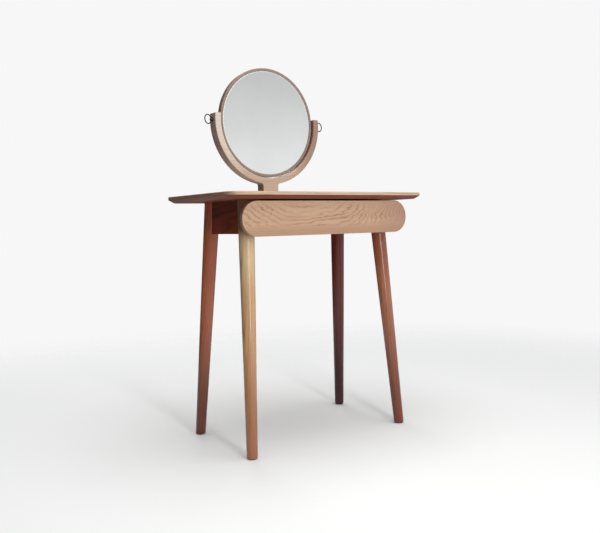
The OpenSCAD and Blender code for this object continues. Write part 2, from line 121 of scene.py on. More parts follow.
def rounded_rectangle(half_w, half_d, radius):
    """An outline with four round corners, anticlockwise."""
    outline = []
    for sx, sy, start in ((1, -1, -90), (1, 1, 0), (-1, 1, 90), (-1, -1, 180)):
        centre = (sx * (half_w - radius), sy * (half_d - radius))
        outline += arc(centre, radius, start, start + 90, QUARTER)
    return outline


def quarter_angles(steps):
    return [math.pi / 2 * i / steps for i in range(steps + 1)]


def rounded_below(radius, low, steps):
    """The profile, as (inset, height), of an edge that is rounded where it starts."""
    return [(radius * (1 - math.sin(a)), low + radius * (1 - math.cos(a))) for a in quarter_angles(steps)]


def rounded_above(radius, high, steps):
    """The profile of an edge that is rounded where it ends."""
    return [(radius * (1 - math.cos(a)), high - radius * (1 - math.sin(a))) for a in quarter_angles(steps)]


def round_edge(radius, low, high, steps):
    """The profile of an edge that is rounded at both ends."""
    return rounded_below(radius, low, steps) + rounded_above(radius, high, steps)


def rounded_loop(corners, radii, steps):
    """A closed anticlockwise profile of (radius, height), with each corner rounded by its own radius."""
    loop = []
    for i, radius in enumerate(radii):
        corner = Vector(corners[i])
        before = Vector(corners[i - 1]) - corner
        after = Vector(corners[(i + 1) % len(corners)]) - corner
        reach = min(radius, before.length / 2.2, after.length / 2.2)
        start, end = corner + before.normalized() * reach, corner + after.normalized() * reach
        loop += bend(start, corner, end, steps)
    return loop


def slab(outline, profile, place):
    """The shape of a slab: outline is [((x, y), normal)], profile is [(inset, height)], and place maps
    (x, y, height) to the row frame."""
    verts = [
        place(p[0] - n[0] * inset, p[1] - n[1] * inset, height)
        for inset, height in profile
        for p, n in outline
    ]
    return verts, capped(ring_faces(len(profile), len(outline)), len(profile), len(outline))


def lathe(profile, place, steps, closed=True):
    """A turned shape: profile is [(radius, height)], and place maps (x, y, height) to the row frame. An open
    profile is capped at both ends."""
    verts = []
    for radius, height in profile:
        for i in range(steps):
            a = 2 * math.pi * i / steps
            verts.append(place(radius * math.cos(a), radius * math.sin(a), height))
    faces = ring_faces(len(profile), steps, closed)
    return verts, faces if closed else capped(faces, len(profile), steps)


def upright(x, y, height):
    """For slabs that lie flat: height is Z."""
    return Vector((x, y, height))


def facing_front(centre, face_y):
    """For slabs that stand in the XZ plane: height runs from face_y towards the back."""

    def place(x, z, height):
        return Vector((centre.x + x, face_y + height, centre.z + z))

    return place


# ---- Node helpers ----


class Tree:
    """A short way to write a material's nodes."""

    def __init__(self, name):
        self.material = bpy.data.materials.new(name)
        self.material.use_nodes = True
        self.nodes = self.material.node_tree.nodes
        self.links = self.material.node_tree.links
        self.nodes.clear()
        self.out = self.nodes.new("ShaderNodeOutputMaterial")
        self.shader = self.nodes.new("ShaderNodeBsdfPrincipled")
        self.links.new(self.shader.outputs[0], self.out.inputs[0])

    def put(self, socket, value):
        if isinstance(value, bpy.types.NodeSocket):
            self.links.new(value, socket)
        elif value is not None:
            socket.default_value = value

    def node(self, kind, out=0, settings=(), **inputs):
        n = self.nodes.new(kind)
        for key, value in dict(settings).items():
            setattr(n, key, value)
        for key, value in inputs.items():
            self.put(n.inputs[key.replace("_", " ")], value)
        return n.outputs[out]

    def math(self, operation, a, b=None, clamp=False):
        n = self.nodes.new("ShaderNodeMath")
        n.operation = operation
        n.use_clamp = clamp
        self.put(n.inputs[0], a)
        self.put(n.inputs[1], b)
        return n.outputs[0]

    def vector(self, operation, a, b=None):
        n = self.nodes.new("ShaderNodeVectorMath")
        n.operation = operation
        self.put(n.inputs[0], a)
        self.put(n.inputs[1], b)
        return n.outputs["Value" if operation in ("DOT_PRODUCT", "LENGTH") else "Vector"]

    def place(self):
        """The point on the surface, in the row frame at rest."""
        return self.node("ShaderNodeTexCoord", "Object")

    def facing(self):
        """The surface's normal, in the row frame at rest."""
        return self.node("ShaderNodeTexCoord", "Normal")

    def split(self, vector):
        """A vector's X, Y and Z."""
        return self.node("ShaderNodeSeparateXYZ", Vector=vector).node.outputs

    def noise(self, vector, stretch, detail=2.0, rough=0.5, out="Fac"):
        """Noise at a point, where stretch is how many cells there are in a metre along each axis."""
        cells = self.vector("MULTIPLY", vector, stretch)
        return self.node("ShaderNodeTexNoise", out, Vector=cells, Scale=1.0, Detail=detail, Roughness=rough)

    def wander(self, vector, stretch, amount, detail, rough=0.5):
        """A smooth random shift of up to half of amount along each axis."""
        cloud = self.noise(vector, stretch, detail, rough, out="Color")
        return self.vector("MULTIPLY", self.vector("SUBTRACT", cloud, (0.5, 0.5, 0.5)), amount)

    def chance(self, value, out="Value"):
        """A random number, or colour, for each whole number."""
        return self.node("ShaderNodeTexWhiteNoise", out, {"noise_dimensions": "1D"}, W=value)

    def ranged(self, value, low, high, to_low=0.0, to_high=1.0, smooth=False):
        """Maps low..high to to_low..to_high, clamped."""
        settings = {"interpolation_type": "SMOOTHSTEP" if smooth else "LINEAR"}
        return self.node(
            "ShaderNodeMapRange", 0, settings, Value=value, From_Min=low, From_Max=high, To_Min=to_low,
            To_Max=to_high,
        )

    def ramp(self, value, stops, mode="LINEAR"):
        n = self.nodes.new("ShaderNodeValToRGB")
        n.color_ramp.interpolation = mode
        elements = n.color_ramp.elements
        while len(elements) < len(stops):
            elements.new(0.5)
        for element, (position, colour) in zip(elements, stops):
            element.position = position
            element.color = colour if isinstance(colour, tuple) else (colour, colour, colour, 1.0)
        self.put(n.inputs[0], value)
        return n.outputs[0]

    def mix(self, factor, a, b, mode="MIX"):
        n = self.nodes.new("ShaderNodeMix")
        n.data_type = "RGBA"
        n.blend_type = mode
        self.put(n.inputs[0], factor)
        self.put(n.inputs[6], a)
        self.put(n.inputs[7], b)
        return n.outputs[2]

    def mix_value(self, factor, a, b):
        n = self.nodes.new("ShaderNodeMix")
        n.data_type = "FLOAT"
        self.put(n.inputs[0], factor)
        self.put(n.inputs[2], a)
        self.put(n.inputs[3], b)
        return n.outputs[0]

    def bump(self, height, strength, distance):
        return self.node("ShaderNodeBump", Height=height, Strength=strength, Distance=distance)

    def finish(self, **inputs):
        for key, value in inputs.items():
            self.put(self.shader.inputs[key.replace("_", " ")], value)
        return self.material


def rgb(red, green, blue):
    """A colour given as the eye sees it, 0 to 255, for a shader socket."""

    def linear(c):
        c /= 255
        return c / 12.92 if c <= 0.04045 else ((c + 0.055) / 1.055) ** 2.4

    return (linear(red), linear(green), linear(blue), 1.0)


# ---- Materials ----


def grain_space(t, grain, centre):
    """Coordinates with X along the grain, from a board's own centre."""
    mapping = t.nodes.new("ShaderNodeMapping")
    mapping.vector_type = "POINT"
    mapping.inputs["Rotation"].default_value = grain.rotation_difference(Vector((1, 0, 0))).to_euler()
    t.put(mapping.inputs["Vector"], t.vector("SUBTRACT", t.place(), tuple(centre)))
    return mapping.outputs[0]


def plank_cells(t, point, width, seed):
    """Splits a panel into glued planks: the point in its plank, shifted by chance, and a tone per plank."""
    x, y, z = t.split(point)
    cell = t.math("FLOOR", t.math("DIVIDE", y, width))
    shift = t.split(t.chance(t.math("ADD", cell, seed), "Color"))
    local_y = t.math("SUBTRACT", y, t.math("MULTIPLY", t.math("ADD", cell, 0.5), width))
    local_y = t.math("ADD", local_y, t.math("MULTIPLY", t.math("SUBTRACT", shift[0], 0.5), width))
    local_x = t.math("ADD", x, t.math("MULTIPLY", shift[1], 3.0))
    return t.node("ShaderNodeCombineXYZ", X=local_x, Y=local_y, Z=z), shift[2]


def growth_rings(t, point, depth, ring, slope, warp, seed):
    """How many rings out from the pith a point lies. The pith runs along X, below the board's centre by
    depth. ring is one year's growth, slope tilts the board against the pith, and warp is how far the tree
    wandered."""
    start = t.vector("ADD", point, (seed, seed * 0.7, 0.0))
    shift = t.wander(start, (1.6, 9.0, 9.0), (0.0, warp, warp), 2.5)
    x, y, z = t.split(t.vector("ADD", point, shift))
    down = t.math("ADD", z, depth)
    radius = t.math("SQRT", t.math("ADD", t.math("POWER", y, 2.0), t.math("POWER", down, 2.0)))
    radius = t.math("ADD", radius, t.math("MULTIPLY", x, slope))
    return t.math("DIVIDE", radius, ring)


def bowed_rings(t, point, centre, left, right, drop, rings):
    """Rings that dip across a board's face like a row of smiles. left, right and drop say how far the
    outermost one reaches from the centre."""
    shift = t.wander(point, (9.0, 9.0, 26.0), (0.07, 0.0, 0.024), 4.0, 0.6)
    jag = t.wander(point, (70.0, 70.0, 200.0), (0.018, 0.0, 0.0045), 2.0)
    moved = t.vector("SUBTRACT", t.vector("ADD", t.vector("ADD", point, shift), jag), centre)
    x, _, z = t.split(moved)
    across = t.math("MULTIPLY", x, t.mix_value(t.math("GREATER_THAN", x, 0.0), 1 / left, 1 / right))
    down = t.math("DIVIDE", z, drop)
    square = t.math("ADD", t.math("POWER", across, 2.0), t.math("POWER", down, 2.0))
    return t.math("MULTIPLY", t.math("SQRT", square), rings)


def latewood(t, point, count, bold, contrast):
    """The dark band that ends each year's growth, and the whole figure with two finer lines in each ring."""
    profile = [(0.0, 0.9), (0.1, 0.5), (0.26, 0.14), (0.6, 0.04), (0.84, 0.22), (0.95, 1.0)]
    rings = t.ramp(t.math("FRACT", count), profile, "EASE")
    each = t.math("ADD", t.math("MULTIPLY", t.chance(t.math("FLOOR", count)), 0.95), 0.35)
    patch = t.noise(point, (9.0, 36.0, 36.0), detail=3.0)
    patch = t.ramp(patch, [(0.32, 0.3), (0.6, 1.0)])
    strength = t.math("MULTIPLY", t.math("MULTIPLY", each, contrast), patch)
    lines = t.math("MULTIPLY", t.math("MULTIPLY", rings, strength), bold, clamp=True)
    inner = t.math("FRACT", t.math("MULTIPLY", count, 3.0))
    inner = t.math("MULTIPLY", t.ramp(inner, [(0.0, 0.6), (0.3, 0.0), (0.75, 0.0), (1.0, 0.9)]), 0.24)
    return rings, t.math("MAXIMUM", lines, t.math("MULTIPLY", inner, contrast))


def wood(
    name,
    light,
    dark,
    line,
    grain=(1, 0, 0),
    centre=(0, 0, 0),
    depth=0.06,
    ring=0.0055,
    slope=0.02,
    warp=0.03,
    planks=None,
    seed=0.0,
    contrast=0.6,
    gloss=0.42,
    coat=0.25,
    specular=0.25,
    end_grain=0.5,
    painted_light_fades=(),
    underside_shade=None,
    figure=None,
):
    """Satin-lacquered timber: growth rings, latewood lines, fibres and open pores, from the board's place.
    light, dark and line are the colours of earlywood, streaks and latewood. contrast is how bold the lines
    are, and end_grain how dark faces are that cut across the grain. fades are (direction, start, end,
    colour): painted light and shade, slow changes of colour along the board that make it lighter as if lit
    and darker as if shaded. under is the colour of painted shade on faces that look down."""
    t = Tree(name)
    grain = Vector(grain).normalized()
    board = grain_space(t, grain, centre)
    point, tone = plank_cells(t, board, planks, seed) if planks else (board, 0.5)

    count, bold = growth_rings(t, point, depth, ring, slope, warp, seed), 1.0
    if figure:
        count, tone, bold = figure(t, board, count)
    feather = t.noise(point, (60.0, 900.0, 900.0))
    count = t.math("ADD", count, t.math("MULTIPLY", t.math("SUBTRACT", feather, 0.5), 0.3))
    rings, lines = latewood(t, point, count, bold, contrast)

    across = t.math("ABSOLUTE", t.vector("DOT_PRODUCT", t.facing(), grain))
    across = t.ranged(across, 0.35, 0.9, 0.0, end_grain)
    along = t.math("SUBTRACT", 1.0, across)
    lines = t.math("MULTIPLY", lines, along)

    fibre = t.noise(point, (14.0, 1300.0, 1300.0), detail=3.0, rough=0.6)
    streak = t.noise(point, (2.2, 60.0, 60.0), detail=4.0, rough=0.6)
    broad = t.math("ADD", t.math("MULTIPLY", streak, 0.68), t.math("MULTIPLY", tone, 0.32))
    body = t.mix(t.ramp(broad, [(0.3, 0.0), (0.68, 1.0)]), light, dark)
    # Painted light and shade: each entry lightens or darkens the board along a direction, as light and
    # shadow would.
    for direction, start, end, colour in painted_light_fades:
        amount = t.ranged(t.vector("DOT_PRODUCT", t.place(), direction), start, end, smooth=True)
        streaked = t.mix(streak, colour, t.mix(0.3, colour, dark))
        body = t.mix(t.math("MULTIPLY", amount, 0.85), body, streaked)
    # Painted shade: faces that look down turn darker, as if out of the light.
    if underside_shade:
        downward = t.ranged(t.split(t.facing())[2], -0.25, -0.6, 0.0, 0.94)
        body = t.mix(downward, body, t.mix(streak, underside_shade, t.mix(0.35, underside_shade, line)))
    body = t.mix(lines, body, line)
    body = t.mix(1.0, body, t.ramp(fibre, [(0.3, 0.84), (0.7, 1.08)]), "MULTIPLY")
    body = t.mix(across, body, t.mix(0.75, body, line, "MULTIPLY"))

    pore = t.ramp(t.noise(point, (120.0, 2600.0, 2600.0), detail=1.0), [(0.6, 0.0), (0.7, 1.0)])
    pore = t.math("MULTIPLY", pore, t.math("ADD", t.math("MULTIPLY", rings, 0.8), 0.2))
    pore = t.math("MULTIPLY", pore, along)
    body = t.mix(t.math("MULTIPLY", pore, 0.5), body, t.mix(0.5, line, dark, "MULTIPLY"))

    wear = t.noise(board, (9.0, 9.0, 9.0), detail=4.0)
    rough = t.math("ADD", t.math("MULTIPLY", wear, 0.16), gloss - 0.08)
    rough = t.math("ADD", rough, t.math("MULTIPLY", pore, 0.15))
    rough = t.math("ADD", rough, t.math("MULTIPLY", fibre, 0.06))
    height = t.math("ADD", t.math("MULTIPLY", fibre, 0.25), t.math("MULTIPLY", pore, -0.9))
    height = t.math("ADD", height, t.math("MULTIPLY", rings, -0.25))
    return t.finish(
        Base_Color=body,
        Roughness=rough,
        Normal=t.bump(height, 0.32, 0.12 * MM),
        Specular_IOR_Level=specular,
        Coat_Weight=coat,
        Coat_Roughness=0.12,
    )


def metal(name, colour, tint, rough, stretch=(60.0, 60.0, 60.0), scratch=0.15, metallic=1.0, coat=0.0):
    """Metal, bare or coated, with fine marks and a cloudy change of tint."""
    t = Tree(name)
    place = t.place()
    cloud = t.noise(place, (55.0, 55.0, 55.0), detail=3.0)
    grit = t.noise(place, stretch, detail=4.0, rough=0.65)
    speck = t.ramp(t.noise(place, (900.0, 900.0, 900.0)), [(0.58, 0.0), (0.7, 1.0)])
    body = t.mix(t.ramp(cloud, [(0.3, 0.0), (0.7, 1.0)]), colour, tint)
    body = t.mix(t.math("MULTIPLY", speck, 0.18), body, tint)
    marks = t.math("ADD", t.math("MULTIPLY", grit, scratch), rough - scratch / 2)
    marks = t.math("ADD", marks, t.math("MULTIPLY", speck, 0.12))
    height = t.math("ADD", grit, t.math("MULTIPLY", speck, -0.4))
    return t.finish(
        Base_Color=body,
        Roughness=marks,
        Normal=t.bump(height, 0.16, 0.06 * MM),
        Metallic=metallic,
        Coat_Weight=coat,
        Coat_Roughness=0.2,
    )


def plastic(name, colour, rough):
    """Moulded plastic with a fine spark-eroded texture."""
    t = Tree(name)
    pale = tuple(1.6 * c for c in colour[:3]) + (1.0,)
    grain = t.noise(t.place(), (1400.0, 1400.0, 1400.0), detail=3.0)
    cloud = t.noise(t.place(), (90.0, 90.0, 90.0), detail=3.0)
    body = t.mix(t.math("MULTIPLY", cloud, 0.5), colour, pale)
    sheen = t.math("ADD", t.math("MULTIPLY", cloud, 0.14), rough - 0.07)
    return t.finish(Base_Color=body, Roughness=sheen, Normal=t.bump(grain, 0.25, 0.08 * MM), IOR=1.48)


def silvered_glass():
    """The mirror's face: silver behind clear glass, with a faint bloom of fingerprints and dust."""
    t = Tree("silvered_glass")
    bloom = t.noise(t.place(), (7.0, 7.0, 7.0), detail=5.0, rough=0.6)
    dust = t.ramp(t.noise(t.place(), (700.0, 700.0, 700.0)), [(0.66, 0.0), (0.74, 1.0)])
    haze = t.ramp(bloom, [(0.35, 0.0), (0.75, 1.0)])
    body = t.mix(haze, rgb(250, 247, 246), rgb(243, 241, 240))
    rough = t.math("ADD", t.math("MULTIPLY", haze, 0.012), t.math("MULTIPLY", dust, 0.03))
    return t.finish(Base_Color=body, Roughness=t.math("ADD", rough, 0.004), Metallic=1.0)


def polished_edge():
    """The ground and polished rim of the glass, pale and slightly green."""
    t = Tree("polished_edge")
    lines = t.noise(t.place(), (500.0, 500.0, 500.0), detail=3.0)
    body = t.mix(lines, rgb(222, 232, 229), rgb(240, 245, 243))
    return t.finish(Base_Color=body, Roughness=t.math("ADD", t.math("MULTIPLY", lines, 0.12), 0.32))


def assign(material, *names):
    """Gives CAD nodes or pieces one material."""
    for name in names:
        obj = bpy.data.objects[name]
        obj.data.materials.clear()
        obj.data.materials.append(material)


def ease_edges(radius, *names):
    """Rounds the sharp edges of CAD nodes a little with modifiers, as sanding or rolling leaves them."""
    for name in names:
        obj = frame["nodes"][name]
        weld = obj.modifiers.new("weld", "WELD")
        weld.merge_threshold = 0.01 * MM
        bevel = obj.modifiers.new("ease", "BEVEL")
        bevel.width = radius
        bevel.segments = 2
        bevel.limit_method = "ANGLE"
        bevel.angle_limit = math.radians(40)
        bevel.use_clamp_overlap = True
        bevel.harden_normals = True


# ---- The table ----

LEGS = ("leg_front_left", "leg_front_right", "leg_rear_left", "leg_rear_right")


def build_top():
    """The top: rounded corners, an upright edge rounded above, and a straight bevel underneath."""
    low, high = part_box("top_panel")
    bevel_w, bevel_h, rounding, corner, soft = 18 * MM, 10 * MM, 3 * MM, 40 * MM, 1 * MM
    foot, arris = Vector((bevel_w, 0.0)), Vector((0.0, bevel_h))
    slope = (foot - arris).normalized()
    profile = [(bevel_w + soft, 0.0)]
    profile += [tuple(foot.lerp(arris, share)) for share in (0.06, 0.3, 0.6)]
    profile += bend(arris + slope * soft, arris, arris + Vector((0.0, soft)), 4)
    profile += rounded_above(rounding, high.z - low.z, 7)
    profile = [(inset, low.z + height) for inset, height in profile]
    outline = rounded_rectangle(high.x, high.y, corner)
    piece("top_board", slab(outline, profile, upright), "table", "top_panel", 24)


def leg_end(name, z):
    """The centre and radius of a leg's level end at a height."""
    ring = [v.co for v in frame["nodes"][name].data.vertices if abs(v.co.z - z) < 0.05 * MM]
    xs, ys = [c.x for c in ring], [c.y for c in ring]
    return Vector(((min(xs) + max(xs)) / 2, (min(ys) + max(ys)) / 2, z)), (max(xs) - min(xs)) / 2


def leg_ends(name):
    """A leg's (centre, radius) at the floor end and at the top end."""
    low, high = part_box(name)
    return leg_end(name, low.z), leg_end(name, high.z)


def build_leg(name):
    """A turned leg, cut level at the top and softly rounded at the foot."""
    (foot, foot_r), (head, head_r) = leg_ends(name)
    length = head.z - foot.z
    rounding, stations = 2.6 * MM, 24
    profile = rounded_below(rounding, 0.0, 6)
    profile += [(0.0, rounding + (length - rounding) * (i + 1) / stations) for i in range(stations)]
    profile = [(foot_r + (head_r - foot_r) * height / length - inset, height) for inset, height in profile]

    def place(x, y, height):
        return foot.lerp(head, height / length) + Vector((x, y, 0.0))

    shape = lathe(profile, place, 3 * QUARTER, closed=False)
    piece(name + "_turned", shape, "table", name, 40)


# ---- The drawer ----


def build_drawer_front():
    """The drawer front: a board with fully round ends and eased edges."""
    low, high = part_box("drawer_front")
    half_w, half_h = (high.x - low.x) / 2, (high.z - low.z) / 2
    outline = arc((half_w - half_h, 0.0), half_h, -90, 90, 2 * QUARTER)
    outline += arc((half_h - half_w, 0.0), half_h, 90, 270, 2 * QUARTER)
    profile = round_edge(1.6 * MM, 0.0, high.y - low.y, 5)
    shape = turned_over(slab(outline, profile, facing_front((low + high) / 2, low.y)))
    piece("drawer_face", shape, "drawer", "drawer_front", 35)


# ---- The mirror and its yoke ----

PIVOT = Vector(next(j["pos_m"] for j in frame["joints"] if j["name"] == "mirror_tilt"))


def yoke_outline(low, high):
    """The yoke in its own plane, anticlockwise, from the bottom of the neck on the right."""
    arm_w, half_neck, fillet, corner = 20.5 * MM, 29.5 * MM, 9 * MM, 2.2 * MM
    outer = (high.x - low.x) / 2
    inner = outer - arm_w
    rise, drop = high.z - PIVOT.z, low.z - PIVOT.z
    fillet_x = half_neck + fillet
    fillet_z = -math.sqrt((outer + fillet) ** 2 - fillet_x**2)
    meet = math.degrees(math.atan2(fillet_z, fillet_x))
    top_outer = math.degrees(math.asin((rise - corner) / (outer - corner)))
    top_inner = math.degrees(math.asin((rise - corner) / (inner + corner)))
    outer_tip = ((outer - corner) * math.cos(math.radians(top_outer)), rise - corner)
    inner_tip = ((inner + corner) * math.cos(math.radians(top_inner)), rise - corner)
    right = [((half_neck, drop), (1, 0))]
    right += hollow_arc((fillet_x, fillet_z), fillet, 180, 180 + meet, 8)
    right += arc((0, 0), outer, meet, top_outer, 3 * QUARTER)[1:]
    right += arc(outer_tip, corner, top_outer, 90, 4)
    right += arc(inner_tip, corner, 90, 180 + top_inner, 4)
    inside = hollow_arc((0, 0), inner, top_inner, -180 - top_inner, 6 * QUARTER)
    left = [((-x, z), (-nx, nz)) for (x, z), (nx, nz) in reversed(right)]
    return right + inside + left


def build_yoke():
    low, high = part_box("yoke")
    profile = round_edge(1.8 * MM, 0.0, high.y - low.y, 4)
    shape = turned_over(slab(yoke_outline(low, high), profile, facing_front(PIVOT, low.y)))
    piece("yoke_bow", shape, "table", "yoke", 35)


def mirror_place(x, z, height):
    """Maps a turned shape about the pivot's Y axis, height counted from the pivot plane to the back."""
    return Vector((PIVOT.x + x, PIVOT.y + height, PIVOT.z - z))


def build_mirror_frame():
    """The wooden ring with its front and back rebates, its outer edges well rounded."""
    low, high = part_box("mirror_frame")
    outer, half_t = (high.x - low.x) / 2, (high.y - low.y) / 2
    glass_low, glass_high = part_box("mirror_glass")
    seat = (glass_high.x - glass_low.x) / 2 + 0.3 * MM
    web = seat - 11 * MM
    ledge = half_t - (glass_high.y - low.y)
    corners = [
        (outer, -half_t),
        (outer, half_t),
        (seat, half_t),
        (seat, ledge),
        (web, ledge),
        (web, -ledge),
        (seat, -ledge),
        (seat, -half_t),
    ]
    well, slightly, barely = 2.2 * MM, 0.8 * MM, 0.3 * MM
    radii = [well, well, slightly, barely, barely, barely, barely, slightly]
    shape = lathe(rounded_loop(corners, radii, 5), mirror_place, 8 * QUARTER)
    piece("mirror_rim", shape, "mirror", "mirror_frame", 35)


def build_mirror_glass():
    """The glass, silvered behind its flat face, with a narrow polished bevel round its front."""
    low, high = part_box("mirror_glass")
    outer = (high.x - low.x) / 2
    front, back = low.y - PIVOT.y, high.y - PIVOT.y
    bevel, drop, soft = 2.4 * MM, 0.8 * MM, 0.3 * MM
    lip = 0.35 * MM  # rounding between the bevel and the rim
    profile = [
        (0.25 * outer, front),
        (0.6 * outer, front),
        (0.85 * outer, front),
        (outer - bevel, front),
        (outer - lip, front + drop),
        (outer, front + drop + lip),
        (outer, back - soft),
        (outer - soft, back),
        (0.5 * outer, back),
    ]
    shape = lathe(profile, mirror_place, 8 * QUARTER, closed=False)
    glass = piece("mirror_disc", shape, "mirror", "mirror_glass", 8).data
    glass.materials.append(silvered_glass())
    glass.materials.append(polished_edge())
    for face in glass.polygons:
        on_front = all(abs(glass.vertices[v].co.y - low.y) < 0.02 * MM for v in face.vertices)
        face.material_index = 0 if on_front else 1


def build_ring(side):
    """A finger ring of bent wire, with the fine seam where its ends meet, opposite the eye."""
    node, body = "pull_ring_" + side, "ring_" + side
    low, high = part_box(node)
    centre = (low + high) / 2
    wire = 1.75 * MM
    mean = (high.z - low.z) / 2 - wire
    eye = Vector(next(j["pos_m"] for j in frame["joints"] if j["child"] == body))
    out, up = (centre - eye).normalized(), Vector((0, 0, 1))
    across = out.cross(up)
    steps, round_steps, seam_steps, seam_depth = 96, 16, 3, 0.35 * MM
    verts = []
    for i in range(steps):
        a = 2 * math.pi * i / steps
        radial = out * math.cos(a) + up * math.sin(a)
        r = wire - (seam_depth * math.exp(-2 * i * i) if i < seam_steps else 0.0)
        for k in range(round_steps):
            b = 2 * math.pi * k / round_steps
            verts.append(centre + radial * (mean + r * math.cos(b)) + across * (r * math.sin(b)))
    shape = turned_over((verts, ring_faces(steps, round_steps, closed=True)))
    piece(node + "_wire", shape, body, node, 50)


# ---- Materials on pieces ----


def drawer_figure(t, board, count):
    """The drawer front's figure: bowed rings that crowd together to the right, above plain grain in the
    lower quarter. Gives the ring count, the tone and how bold the lines are."""
    x, _, z = t.split(board)
    bowed = bowed_rings(t, board, (-0.125, 0.0, 0.056), 0.165, 0.30, 0.078, 7.0)
    crowd = t.math("POWER", t.math("MAXIMUM", t.math("SUBTRACT", x, 0.06), 0.0), 1.6)
    bowed = t.math("ADD", bowed, t.math("MULTIPLY", crowd, 95.0))
    bowed = t.math("ADD", bowed, t.math("MULTIPLY", t.noise(board, (9.0, 9.0, 34.0)), 3.0))
    edge = t.math("MULTIPLY", t.math("SUBTRACT", t.noise(board, (12.0, 12.0, 12.0)), 0.5), 0.012)
    upper = t.ranged(t.math("ADD", z, edge), -0.027, -0.021)
    count = t.mix_value(t.math("GREATER_THAN", upper, 0.5), count, bowed)
    bold = t.mix_value(upper, 0.5, t.ranged(z, 0.046, 0.03, 0.3, 1.0))
    return count, t.mix_value(upper, 0.3, 0.52), bold


# A leg's earlywood, streaks and latewood, and its tones at the foot, further up and behind the drawer.
# These tones are painted light and shade: the front left leg is pale as if lit and the rear right one dark
# as if shaded, each leg darkens towards the foot, the front left leg is painted paler further up, and the
# top of each leg darkens as painted shadow, most of all the front left leg behind the drawer.
LEG_TONES_WITH_PAINTED_SHADE = {
    "leg_front_left": (
        rgb(212, 172, 130), rgb(184, 142, 102), rgb(136, 80, 50),
        rgb(142, 74, 44), rgb(232, 204, 162), rgb(84, 42, 27),
    ),
    "leg_front_right": (
        rgb(178, 118, 90), rgb(154, 94, 68), rgb(94, 42, 28),
        rgb(96, 30, 14), rgb(142, 78, 52), rgb(154, 94, 68),
    ),
    "leg_rear_left": (
        rgb(186, 112, 82), rgb(162, 88, 62), rgb(104, 44, 28),
        rgb(48, 6, 3), rgb(180, 96, 62), rgb(162, 88, 62),
    ),
    "leg_rear_right": (
        rgb(112, 40, 26), rgb(84, 26, 18), rgb(46, 12, 8),
        rgb(32, 5, 4), rgb(108, 36, 22), rgb(84, 26, 18),
    ),
}
UP = (0, 0, 1)
DOWN = (0, 0, -1)
RIGHT = (1, 0, 0)
LEFT = (-1, 0, 0)
BACK = (0, 1, 0)


def colour_top():
    under_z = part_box("top_panel")[0].z
    top = wood(
        "top_oak", rgb(212, 186, 164), rgb(194, 162, 136), rgb(142, 84, 62), planks=0.098, seed=3.0,
        depth=0.07, ring=0.0085, slope=0.03, contrast=0.6, centre=(0, 0.012, under_z), gloss=0.4,
        # The dark red-brown on faces that look down, the bevel under the edge, is painted shade.
        coat=0.06, specular=0.14, end_grain=0.8, underside_shade=rgb(96, 18, 6),
    )
    assign(top, "top_board")


def colour_legs():
    for i, (name, (light, dark, line, low, high, shadow_behind_drawer)) in enumerate(LEG_TONES_WITH_PAINTED_SHADE.items()):
        (foot, _), (head, _) = leg_ends(name)
        leg = wood(
            name + "_oak", light, dark, line, grain=head - foot, centre=foot, depth=0.05 + 0.01 * i,
            ring=0.005, slope=0.012, warp=0.014, seed=7.0 + 3 * i, contrast=0.5, gloss=0.34, coat=0.7,
            specular=0.12,
            # Painted shade towards the foot, painted light and shade further up, and painted shadow at the
            # top.
            painted_light_fades=[(UP, 0.42, 0.06, low), (UP, 0.44, 0.58, high), (UP, 0.618, 0.652, shadow_behind_drawer)],
        )
        assign(leg, name + "_turned")


def colour_frame():
    # Painted shade: these dark tones stand in partly for the shadow under the top; on the side aprons the
    # colour turns paler and redder towards the bottom, painted light below that shadow.
    tones = rgb(122, 54, 32), rgb(92, 38, 24), rgb(54, 20, 12)
    apron = wood(
        "apron_oak", *tones, grain=BACK, seed=21.0, centre=(0.2, 0, 0.68), depth=0.09, contrast=0.7,
        gloss=0.4, specular=0.15, painted_light_fades=[(DOWN, -0.7, -0.645, rgb(146, 66, 38))],
    )
    assign(apron, "apron_left", "apron_right")
    rail = wood(
        "rail_oak", *tones, seed=24.0, centre=(0, 0, 0.68), depth=0.09, contrast=0.7, gloss=0.4,
        specular=0.15,
    )
    assign(rail, "apron_back", "rail_front")


def colour_drawer():
    low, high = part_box("drawer_front")
    middle = (low + high) / 2
    face = wood(
        "face_oak", rgb(208, 174, 142), rgb(192, 156, 128), rgb(154, 94, 78), centre=middle, depth=0.26,
        ring=0.0062, slope=0.006, warp=0.01, seed=1.0, contrast=0.78, gloss=0.44, coat=0.12,
        end_grain=0.7, figure=drawer_figure,
        # Painted shade: the face turns darker towards its right end, further from the light, and towards its
        # lower edge.
        painted_light_fades=[
            (RIGHT, 0.14, 0.34, rgb(172, 132, 114)),
            (DOWN, 0.008 - middle.z, 0.04 - middle.z, rgb(174, 138, 110)),
        ],
    )
    assign(face, "drawer_face")
    tones = rgb(222, 196, 158), rgb(204, 174, 134), rgb(180, 144, 104)
    centre = (0, 0, 0.68)
    side = wood(
        "box_birch", *tones, grain=BACK, seed=31.0, centre=centre, depth=0.12, contrast=0.35, gloss=0.5,
        coat=0.1, end_grain=0.3,
    )
    assign(side, "drawer_side_left", "drawer_side_right", "batten_left", "batten_right")
    across = wood(
        "box_birch_across", *tones, seed=34.0, centre=centre, depth=0.12, contrast=0.35, gloss=0.5,
        coat=0.1, end_grain=0.3,
    )
    assign(across, "drawer_box_front", "drawer_back")
    panel = wood(
        "panel_birch", rgb(218, 192, 152), rgb(200, 168, 126), rgb(176, 138, 98), seed=37.0, depth=0.3,
        ring=0.012, contrast=0.32, gloss=0.5, coat=0.1, end_grain=0.3,
    )
    assign(panel, "drawer_bottom", "mirror_back")


